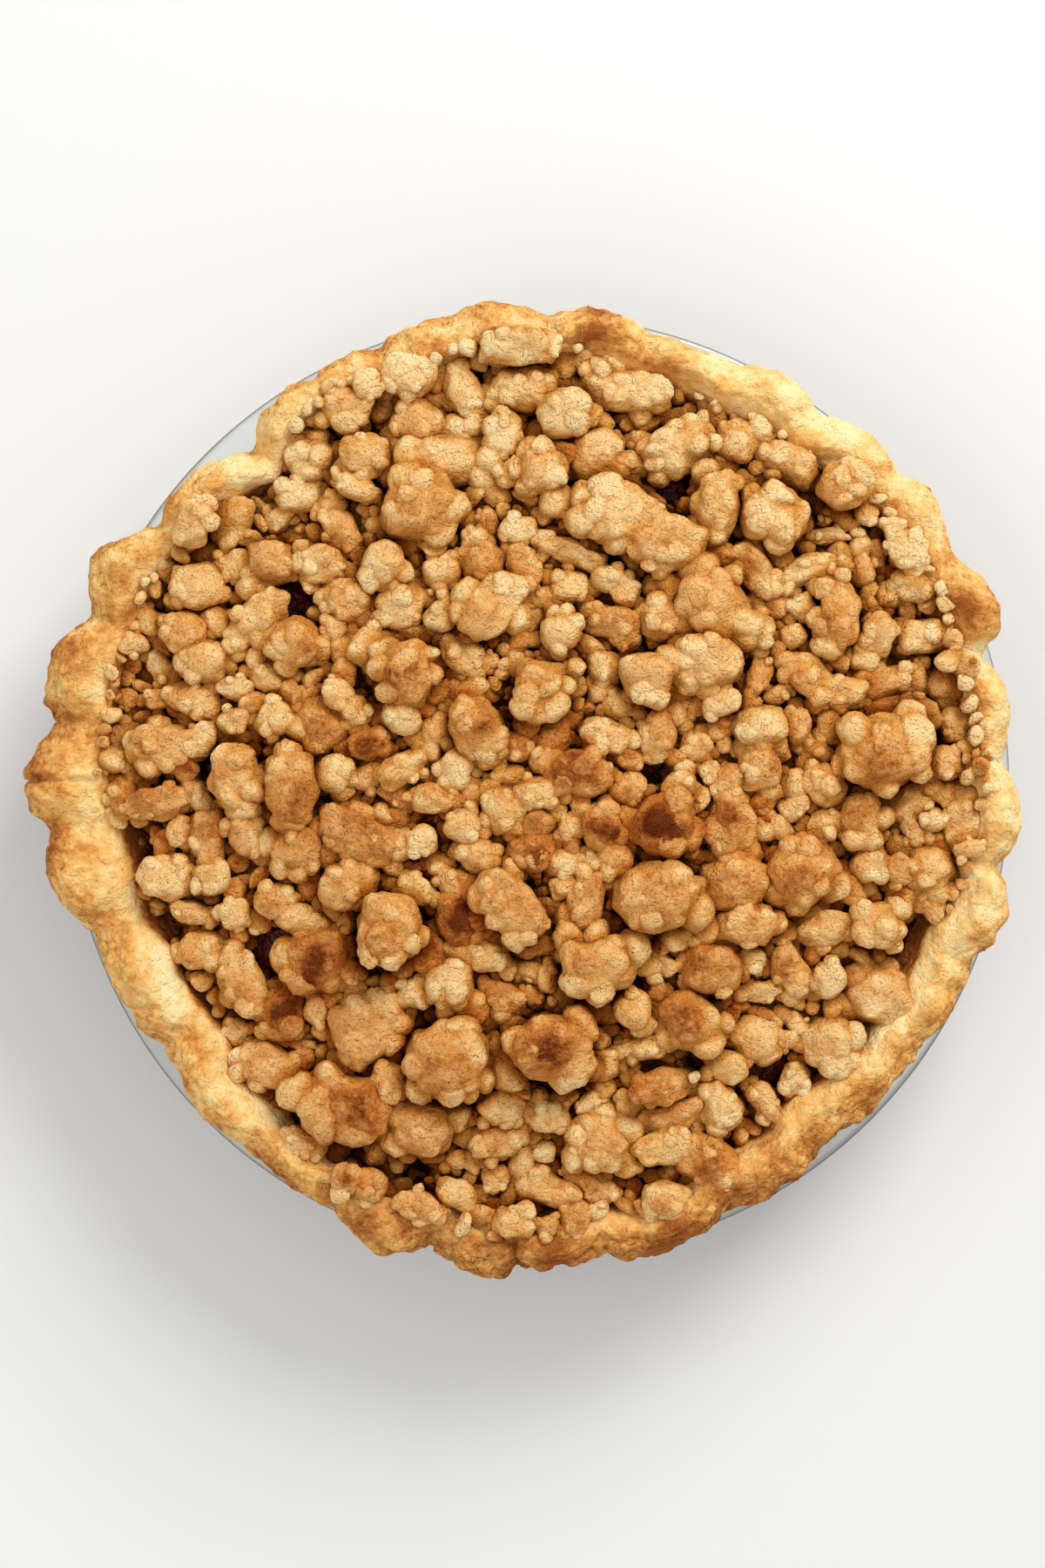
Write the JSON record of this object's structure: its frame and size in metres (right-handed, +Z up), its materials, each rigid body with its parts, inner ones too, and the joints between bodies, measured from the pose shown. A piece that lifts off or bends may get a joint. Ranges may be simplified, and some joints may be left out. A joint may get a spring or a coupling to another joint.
{
  "type": "apple crumble pie",
  "caption": "Whole baked apple pie with a crimped pastry rim and a heaped crumble topping, in its own clear glass pie dish.",
  "frame": {"origin": "centre of the dish's base, on its underside", "axes": "+Z up along the dish's axis; +X and +Y lie in the table's plane, with the crust's furthest overhang towards -X"},
  "size_m": [0.2547, 0.2484, 0.0621],
  "materials": {
    "dish_glass": "clear pressed glass, polished",
    "crust_pastry": "baked shortcrust pastry, golden brown, matte with fine crackle",
    "apple_filling": "cooked spiced apple in its syrup, moist and glossy",
    "crumble_clumps": "baked butter and sugar crumble, golden brown, rough and matte"
  },
  "bodies": {
    "root": {"glass_dish": "dish_glass", "crust": "crust_pastry", "apple_filling": "apple_filling", "crumble_topping": "crumble_clumps"}
  },
  "joints": []
}
